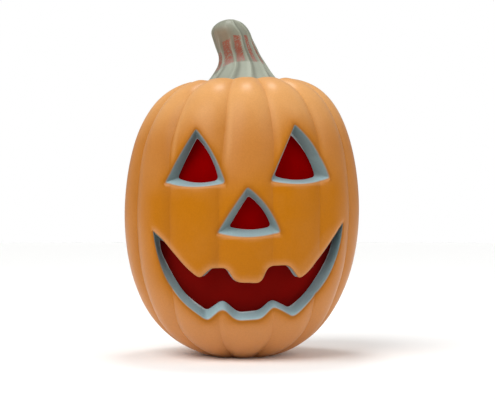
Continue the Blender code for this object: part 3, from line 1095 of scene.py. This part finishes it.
@dataclass
class Shell:
    """The ribbed body with its carved openings."""

    form: BodyForm
    openings: tuple[Opening, ...]
    airbrush: Airbrush = Airbrush()
    segments: int = 336
    rings: int = 168
    hollow_segments: int = 84
    hollow_rings: int = 44
    lip: float = 0.0022
    lip_pieces: int = 6
    lip_end: float = math.radians(66.0)
    lip_above: float = 0.0005
    wall_levels: tuple[float, ...] = (0.35, 0.55, 0.75, 0.90, 0.95, 1.2)
    cell: float = 0.006
    sharp_angle: float = math.radians(38.0)

    def surface_radius(self, tree: BVHTree, azimuth: float, height: float) -> float:
        """Radius of the ribbed surface at an angle and a height.

        Args:
            tree: Search tree of the uncut body.
            azimuth: Angle from the face.
            height: Height before the lean.

        Returns:
            The radius.
        """
        way = self.form.around(azimuth, 1.0, height) - Vector((0.0, 0.0, height))
        hit = tree.ray_cast(Vector((0.0, 0.0, height)), way)
        return math.hypot(hit[0].x, hit[0].y)

    def cut_point(self, tree: BVHTree, along: float, share: float, height: float) -> Vector:
        """Place of a cutter's point, kept in line from the front where it crosses a groove.

        Args:
            tree: Search tree of the uncut body.
            along: Distance round the body on the rib crests.
            share: Depth share, 0 on the surface and 1 at the film.
            height: Height before the lean.

        Returns:
            The point.
        """
        azimuth = along / self.form.radius
        aside = self.form.crest_radius(height) * math.sin(azimuth)
        turned = azimuth
        for _ in range(3):
            radius = self.surface_radius(tree, turned, height)
            turned = math.asin(max(-1.0, min(1.0, aside / radius)))
        film = self.form.crest_radius(height, self.form.wall)
        angle = turned + (azimuth - turned) * clamped(share)
        return self.form.around(angle, radius + (film - radius) * share, height)

    def levels(self, opening: Opening) -> list[tuple[float, np.ndarray]]:
        """Edges of an opening from outside the lip to inside the hollow.

        Args:
            opening: The opening to cut.

        Returns:
            Depth shares with the edge at each of them.
        """
        outer, inner = opening.edge(opening.outer), opening.edge(opening.inner)
        wall = self.form.wall
        end_depth = self.lip * (1.0 - math.sin(self.lip_end))
        end_growth = self.lip * (1.0 - math.cos(self.lip_end))
        slope = math.tan(math.pi / 2.0 - self.lip_end)
        steps = [(-above, end_growth + (end_depth + above) / slope) for above in (self.lip_above, 0.0)]
        for piece in range(self.lip_pieces + 1):
            angle = self.lip_end * (1.0 - piece / self.lip_pieces)
            steps.append((self.lip * (1.0 - math.sin(angle)), self.lip * (1.0 - math.cos(angle))))
        steps += [(wall * share, 0.0) for share in self.wall_levels]
        return [(depth / wall, grown(outer + (inner - outer) * clamped(depth / wall), growth))
                for depth, growth in steps]

    def cutter(self, opening: Opening, tree: BVHTree) -> bpy.types.Object:
        """Makes the solid that cuts an opening.

        Args:
            opening: The opening to cut.
            tree: Search tree of the uncut body.

        Returns:
            The cutter's object.
        """
        return opening_solid(opening.name + "_cutter", self.levels(opening), self.cell,
                             partial(self.cut_point, tree))

    def carved(self) -> tuple[bpy.types.Object, BVHTree]:
        """Cuts the hollow and the openings out of the body.

        Returns:
            The carved piece and the search tree of the uncut body.
        """
        outside = shaped_sphere(self.segments, self.rings, self.form.surface_point)
        tree = BVHTree.FromBMesh(outside)
        piece = mesh_object("shell_dressed", outside)
        hollow = shaped_sphere(self.hollow_segments, self.hollow_rings, self.form.hollow_point)
        cutters = [mesh_object("hollow_cutter", hollow)]
        cutters += [self.cutter(opening, tree) for opening in self.openings]
        for cutter in cutters:
            modifier = piece.modifiers.new(cutter.name, "BOOLEAN")
            modifier.operation = "DIFFERENCE"
            modifier.solver = "MANIFOLD"
            modifier.object = cutter
        graph = bpy.context.evaluated_depsgraph_get()
        data = bpy.data.meshes.new_from_object(piece.evaluated_get(graph))
        piece.modifiers.clear()
        piece.data = data
        for cutter in cutters:
            bpy.data.objects.remove(cutter, do_unlink=True)
        return piece, tree

    def measured(self, piece: bpy.types.Object, tree: BVHTree) -> Measures:
        """Measures every vertex of the carved body.

        Args:
            piece: The carved body.
            tree: Search tree of the uncut body.

        Returns:
            The measures that the paint follows.
        """
        form = self.form
        places = vertex_places(piece)
        height = places[:, 2] - form.lean * places[:, 0] * smooth_array(places[:, 2], 0.0, form.lean_start)
        radius = np.array([max(form.crest_radius(value), MM) for value in height])
        azimuth = np.arctan2(places[:, 0], -places[:, 1])
        return Measures(
            aside=places[:, 0],
            height=height,
            along=np.arcsin(np.clip(places[:, 0] / radius, -1.0, 1.0)) * form.radius,
            azimuth=azimuth,
            depth=np.array([tree.find_nearest(Vector(place))[3] for place in places]),
            walls=wall_directions(piece, azimuth),
        )

    def build(self) -> bpy.types.Object:
        """Builds and dresses the shell.

        Returns:
            The finished piece.
        """
        piece, tree = self.carved()
        for name, values in self.airbrush.masks(self.form, self.openings, self.measured(piece, tree)).items():
            store(piece, name, values)
        piece.data.materials.clear()
        piece.data.materials.append(AirbrushedPlastic().material())
        piece.data.shade_smooth()
        piece.data.set_sharp_from_angle(angle=self.sharp_angle)
        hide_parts("shell")
        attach(piece, BODY)
        return piece


@dataclass
class Films:
    """The red films behind the openings."""

    form: BodyForm
    openings: tuple[Opening, ...]
    gap: float = 0.0003
    thickness: float = 0.0012
    cell: float = 0.004
    sharp_angle: float = math.radians(40.0)

    def laid(self, along: float, share: float, height: float) -> Vector:
        """Place in a film at a distance round the body, a share of its thickness and a height."""
        inset = self.form.wall + self.gap + self.thickness * share
        return self.form.around(along / self.form.radius, self.form.crest_radius(height, inset), height)

    def build_one(self, opening: Opening) -> bpy.types.Object:
        """Builds the film behind one opening.

        Args:
            opening: The opening that the film closes.

        Returns:
            The finished piece.
        """
        edge = opening.edge(opening.film)
        piece = opening_solid(opening.name + "_film", [(0.0, edge), (1.0, edge)], self.cell, self.laid)
        piece.data.shade_smooth()
        piece.data.set_sharp_from_angle(angle=self.sharp_angle)
        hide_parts(opening.name + "_window")
        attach(piece, BODY)
        return piece

    def build(self) -> list[bpy.types.Object]:
        """Builds and dresses every film."""
        deep = RedFilm(name=FilmTone.DEEP.value, red="#720a07", deep="#660c09")
        finishes = {FilmTone.BRIGHT: RedFilm().material(), FilmTone.DEEP: deep.material()}
        pieces = [self.build_one(opening) for opening in self.openings]
        for piece, opening in zip(pieces, self.openings):
            piece.data.materials.append(finishes[opening.film_tone])
        return pieces


@dataclass(frozen=True)
class Band:
    """A brushed band in a flute of the stem.

    Args:
        left: Angle of its left edge, in degrees from the front.
        right: Angle of its right edge.
        top_left: Height of its top at the left, in millimetres.
        top_right: Height of its top at the right.
        foot_left: Height of its foot at the left.
        foot_right: Height of its foot at the right.
        slant: How far it turns from its foot to its top, in degrees.
    """

    left: float
    right: float
    top_left: float
    top_right: float
    foot_left: float
    foot_right: float
    slant: float = 0.0

    def ends(self, azimuth: float) -> tuple[float, float]:
        """Heights of the band's top and foot at an angle."""
        across = clamped((azimuth - self.left) / (self.right - self.left))
        top = self.top_left + (self.top_right - self.top_left) * across
        return top, self.foot_left + (self.foot_right - self.foot_left) * across

    def cover(self, azimuth: float, height: float) -> float:
        """Share of paint at a place on the stem.

        Args:
            azimuth: Angle from the front in degrees, before the twist.
            height: Height in millimetres.

        Returns:
            A share from 0 to 1.
        """
        azimuth -= self.slant * (height - self.foot_right) / (self.top_right - self.foot_right)
        inside = smooth(0.5 + min(azimuth - self.left, self.right - azimuth) / 5.0)
        top, foot = self.ends(azimuth)
        return inside * smooth(0.5 + (top - height) / 1.2) * smooth(0.5 + (height - foot) / 2.0)

    def fading(self, azimuth: float, height: float) -> float:
        """How far the paint has thinned towards the band's foot."""
        return smooth(1.0 - (height - self.ends(azimuth)[1]) / 9.0)


FRONT_BANDS = (
    Band(-82.0, -58.0, 302.0, 303.0, 282.5, 285.0),
    Band(-45.0, -14.0, 311.0, 315.0, 286.6, 291.2, 7.0),
    Band(-5.5, 17.0, 317.6, 317.4, 291.4, 291.8, 9.0),
    Band(39.0, 53.0, 317.8, 317.8, 290.6, 291.0, 1.5),
    Band(69.0, 88.0, 315.0, 315.0, 289.5, 290.0),
)
BACK_BANDS = tuple(Band(middle - 12.0, middle + 12.0, 314.0, 315.0, 291.0, 292.5)
                   for middle in (125.0, 161.0, -163.0, -127.0, -96.0))


@dataclass
class Stem:
    """The ridged stem, which bends to one side and a little forward."""

    form: BodyForm
    segments: int = 288
    rings: int = 140
    dome_share: float = 0.30
    gap: float = 0.0003
    foot_radius: float = 0.038
    neck_radius: float = 0.0189
    neck_height: float = 0.3025
    flare: float = 6.23
    flare_power: float = 1.7
    tip_radius: float = 0.0181
    tip_height: float = 0.318
    taper_start: float = 0.302
    dome_height: float = 0.0168
    base_shift: float = 0.0007
    bend: float = -0.0130
    bend_heights: tuple[float, float] = (0.286, 0.330)
    nod: float = -0.007
    nod_heights: tuple[float, float] = (0.295, 0.335)
    ridges: tuple[float, ...] = (-48.0, -8.0, 26.0, 62.0, 94.0, 143.0, 180.0, -145.0, -111.0, -84.0)
    ridge_width: float = 4.5
    ridge_skirt: float = 13.0
    ridge_shares: tuple[float, float] = (0.55, 0.45)
    ridge_height: float = 0.0024
    ridge_middle: float = 0.3
    tip_power: float = 0.7
    smoothed: tuple[float, float] = (-60.0, 0.0)
    smoothed_heights: tuple[float, float] = (0.307, 0.319)
    smoothed_share: float = 0.85
    swell: float = 0.35
    swell_width: float = 28.0
    foot_fade: tuple[float, float] = (0.2643, 0.2663)
    foot_twist: float = -4.5
    foot_twist_heights: tuple[float, float] = (0.272, 0.288)
    twist: float = -9.5
    twist_heights: tuple[float, float] = (0.302, 0.321)
    top_twist: float = -11.0
    top_heights: tuple[float, float] = (0.316, 0.331)
    paint_line: float = 0.2915
    line_edge: float = 0.0014
    line_sag: float = 5.4e-6
    sag_start: float = -22.0
    sag_limit: float = 44.0
    # The tan fields place the painted shade under the tip.
    tan_low: tuple[float, float] = (0.299, 0.308)
    tan_high: tuple[float, float] = (0.320, 0.331)
    tan_middle: float = -44.0
    tan_reach: float = 22.0
    tan_fade: float = 42.0
    # Where the painted highlight on each ridge and the painted shade beside it lie.
    ridge_highlight_line: tuple[float, float, float] = (0.45, -1.0, 3.5)
    ridge_shade_line: tuple[float, float, float] = (0.60, 8.0, 4.5)
    ridge_shade_under_rust: float = 0.6
    sharp_angle: float = math.radians(60.0)

    def profile(self, polar: float) -> tuple[float, float]:
        """Radius and height of the stem at an angle from its tip.

        Args:
            polar: Angle from the top of a unit sphere.

        Returns:
            The radius and the height.
        """
        share = polar / math.pi
        last = 1.0 - 1.0 / self.rings
        if share <= self.dome_share:
            angle = math.pi / 2.0 * share / self.dome_share
            return self.tip_radius * math.sin(angle), self.tip_height + self.dome_height * math.cos(angle)
        base = self.form.seat_height + self.gap
        if share > last + 0.5 / self.rings:
            return 0.0, base
        along = (share - self.dome_share) / (last - self.dome_share)
        height = self.tip_height + (base - self.tip_height) * along
        drop = max(0.0, self.neck_height - height)
        radius = self.neck_radius + self.flare * drop ** self.flare_power
        radius += (self.tip_radius - self.neck_radius) * eased(height, (self.taper_start, self.tip_height))
        return min(radius, self.foot_radius), height

    def untwisted(self, azimuth: float, height: float) -> float:
        """Angle in degrees that a place would have if the ridges ran straight."""
        twist = self.foot_twist * (1.0 - eased(height, self.foot_twist_heights))
        twist += self.twist * (1.0 - eased(height, self.twist_heights))
        twist += self.top_twist * eased(height, self.top_heights)
        return wrapped(math.degrees(azimuth) - twist)

    def standing(self, ridge: float, height: float) -> float:
        """How far a ridge stands out at a height, as those on the left of the tip fade away."""
        fades = self.smoothed[0] < ridge < self.smoothed[1]
        return 1.0 - self.smoothed_share * eased(height, self.smoothed_heights) if fades else 1.0

    def ridge_wave(self, angle: float, height: float) -> float:
        """Share of the ridge height at a place on the stem.

        Args:
            angle: Untwisted angle in degrees.
            height: Height there.

        Returns:
            The share, 1 on the crest of a narrow ridge.
        """
        wave = 0.0
        narrow, wide = self.ridge_shares
        for ridge in self.ridges:
            apart = abs(wrapped(angle - ridge))
            sharp = narrow * math.exp(-(apart / self.ridge_width) ** 2)
            sharp += wide * math.exp(-apart / self.ridge_skirt)
            broad = self.swell * math.exp(-(apart / self.swell_width) ** 2)
            standing = self.standing(ridge, height)
            wave = max(wave, sharp * standing + broad * (1.0 - standing))
        return wave

    def beside_ridge(self, angle: float, height: float, offset: float, width: float) -> float:
        """Share of a line that runs beside every ridge.

        Args:
            angle: Untwisted angle in degrees.
            height: Height there.
            offset: Angle from the ridge to the line.
            width: Angle over which the line fades.

        Returns:
            A share from 0 to 1.
        """
        share = 0.0
        for ridge in self.ridges:
            apart = wrapped(angle - ridge - offset)
            share = max(share, self.standing(ridge, height) * math.exp(-(apart / width) ** 2))
        return share

    def point(self, azimuth: float, radius: float, height: float) -> Vector:
        """Place on the ridged, bent stem.

        Args:
            azimuth: Angle from the front.
            radius: Radius of the plain stem there.
            height: Height there.

        Returns:
            The point on the stem.
        """
        tip_fade = min(1.0, radius / self.tip_radius) ** self.tip_power
        wave = self.ridge_wave(self.untwisted(azimuth, height), height) - self.ridge_middle
        radius += self.ridge_height * wave * tip_fade * eased(height, self.foot_fade)
        place = Vector((radius * math.sin(azimuth), -radius * math.cos(azimuth), height))
        place.x += self.base_shift + self.bend * eased(height, self.bend_heights)
        place.y += self.nod * eased(height, self.nod_heights)
        return self.form.leaned(place)

    def paint(self, azimuth: float, height: float) -> dict[str, float]:
        """Paint on the stem at a place.

        Args:
            azimuth: Angle from the front.
            height: Height in metres.

        Returns:
            Shares of rust paint, its thin end, the tan painted shade under the tip, the clean foot,
            the painted highlight on the ridges and the painted shade beside them.
        """
        angle = self.untwisted(azimuth, height)
        rust, thin = max((band.cover(angle, height / MM), band.fading(angle, height / MM))
                         for band in FRONT_BANDS + BACK_BANDS)
        seen = math.degrees(azimuth)
        sag = min(self.sag_limit, max(0.0, self.sag_start - seen))
        line = self.paint_line - self.line_sag * sag ** 2
        # Painted shade: tan under the forward-bent tip stands in for the shadow beneath it.
        tan = eased(height, self.tan_low) * (1.0 - eased(height, self.tan_high))
        past = max(0.0, abs(seen - self.tan_middle) - self.tan_reach)
        # Painted highlight on each ridge and painted shade beside it.
        painted_ridge_highlight, painted_ridge_shade = (share * self.beside_ridge(angle, height, offset, width)
                      for share, offset, width in (self.ridge_highlight_line, self.ridge_shade_line))
        return {
            "rust": rust,
            "thin": thin,
            "tan": tan * smooth(1.0 - past / self.tan_fade),
            "foot": 1.0 - smooth(0.5 + (height - line) / self.line_edge),
            "painted_ridge_highlight": painted_ridge_highlight,
            "painted_ridge_shade": painted_ridge_shade * (1.0 - self.ridge_shade_under_rust * rust),
        }

    def build(self) -> bpy.types.Object:
        """Builds and dresses the stem.

        Returns:
            The finished piece.
        """
        paints = []

        def shape(unit: Vector) -> Vector:
            """Moves a vertex of the unit sphere to the stem and notes the paint there."""
            polar, azimuth = sphere_angles(unit)
            radius, height = self.profile(polar)
            paints.append(self.paint(azimuth, height))
            return self.point(azimuth, radius, height)

        piece = mesh_object("stem_dressed", shaped_sphere(self.segments, self.rings, shape))
        for name in STEM_MASKS:
            store(piece, name, np.array([paint[name] for paint in paints]))
        piece.data.materials.append(StemPlastic().material())
        piece.data.shade_smooth()
        piece.data.set_sharp_from_angle(angle=self.sharp_angle)
        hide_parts("stem")
        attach(piece, BODY)
        return piece


@dataclass
class Studio:
    """The floor, the soft lights and the camera."""

    floor_radius: float = 4.0
    camera_distance: float = 1.5
    camera_height: float = 0.1548
    camera_turn: float = math.radians(2.4)
    camera_aside: float = 0.006
    frame_width: float = 0.495
    sensor: float = 36.0
    fill_strength: float = 0.42
    backdrop_strength: float = 1.0
    aim_height: float = 0.15

    def floor(self) -> bpy.types.Object:
        """Lays the round paper floor."""
        mesh = bmesh.new()
        bmesh.ops.create_circle(mesh, cap_ends=True, segments=96, radius=self.floor_radius)
        piece = mesh_object("floor", mesh)
        piece.data.materials.append(StudioPaper().material())
        return piece

    def camera(self) -> None:
        """Sets the camera level in front of the face, a little to its side."""
        turn = self.camera_turn
        right = Vector((math.cos(turn), -math.sin(turn), 0.0))
        ahead = Vector((math.sin(turn), math.cos(turn), 0.0))
        data = bpy.data.cameras.new("camera")
        data.sensor_width = self.sensor
        data.lens = self.sensor * self.camera_distance / self.frame_width
        holder = bpy.data.objects.new("camera", data)
        turned = Matrix((right, Vector((0.0, 0.0, 1.0)), -ahead)).transposed().to_4x4()
        place = right * self.camera_aside - ahead * self.camera_distance
        place.z = self.camera_height
        holder.matrix_world = Matrix.Translation(place) @ turned
        bpy.context.scene.collection.objects.link(holder)
        bpy.context.scene.camera = holder

    def softbox(self, name: str, place: Vector, size: float, power: float) -> None:
        """Hangs a square softbox that faces the lantern.

        Args:
            name: Name of the light.
            place: Where it hangs.
            size: Length of its sides.
            power: Its power in watts.
        """
        data = bpy.data.lights.new(name, "AREA")
        data.size = size
        data.energy = power
        lamp = bpy.data.objects.new(name, data)
        lamp.location = place
        aim = Vector((0.0, 0.0, self.aim_height))
        lamp.rotation_euler = (aim - place).to_track_quat("-Z", "Y").to_euler()
        bpy.context.scene.collection.objects.link(lamp)

    def sun(self, name: str, strength: float, angle: float, side: float, rise: float) -> None:
        """Hangs a large soft light that lights everything evenly from one direction.

        Args:
            name: Name of the light.
            strength: Its strength in watts a square metre.
            angle: Angle that it fills, in degrees.
            side: Its angle from the camera towards +X, in degrees.
            rise: Its angle above the floor, in degrees.
        """
        data = bpy.data.lights.new(name, "SUN")
        data.energy = strength
        data.angle = math.radians(angle)
        lamp = bpy.data.objects.new(name, data)
        level = math.cos(math.radians(rise))
        turn = math.radians(side)
        way = Vector((math.sin(turn) * level, -math.cos(turn) * level, math.sin(math.radians(rise))))
        lamp.rotation_euler = way.to_track_quat("Z", "Y").to_euler()
        bpy.context.scene.collection.objects.link(lamp)

    def build(self) -> None:
        """Sets up the floor, the lights, the backdrop and the camera."""
        self.floor()
        self.sun("main_light", 2.15, 48.0, -44.0, 46.0)
        self.sun("side_light", 0.85, 50.0, 62.0, 28.0)
        self.softbox("top_softbox", Vector((0.0, 0.30, 1.4)), 0.32, 5.0)
        world = bpy.data.worlds.new("studio")
        world.use_nodes = True
        tree = world.node_tree
        light = tree.nodes["Background"]
        set_node(tree, light, {"Color": (1.0, 1.0, 1.0, 1.0), "Strength": self.fill_strength})
        seen = add_node(tree, "ShaderNodeBackground", {"Color": (1.0, 1.0, 1.0, 1.0),
                                                       "Strength": self.backdrop_strength})
        ray = add_node(tree, "ShaderNodeLightPath")
        mixed = add_node(tree, "ShaderNodeMixShader", {}, {0: ray.outputs["Is Camera Ray"],
                                                           1: light.outputs[0], 2: seen.outputs[0]})
        tree.links.new(mixed.outputs[0], tree.nodes["World Output"].inputs["Surface"])
        bpy.context.scene.world = world
        bpy.context.scene.view_settings.view_transform = "Standard"
        self.camera()


def report(pieces: list[bpy.types.Object]) -> None:
    """Logs each piece with its size in triangles."""
    for piece in pieces:
        piece.data.calc_loop_triangles()
        LOG.info("%s: %d triangles", piece.name, len(piece.data.loop_triangles))


def main() -> None:
    """Builds the lantern and its studio."""
    logging.basicConfig(level=logging.INFO, format="%(name)s: %(message)s")
    form = BodyForm()
    report([Shell(form, OPENINGS).build()])
    report(Films(form, OPENINGS).build())
    report([Stem(form).build()])
    Studio().build()


if __name__ == "__main__":
    main()
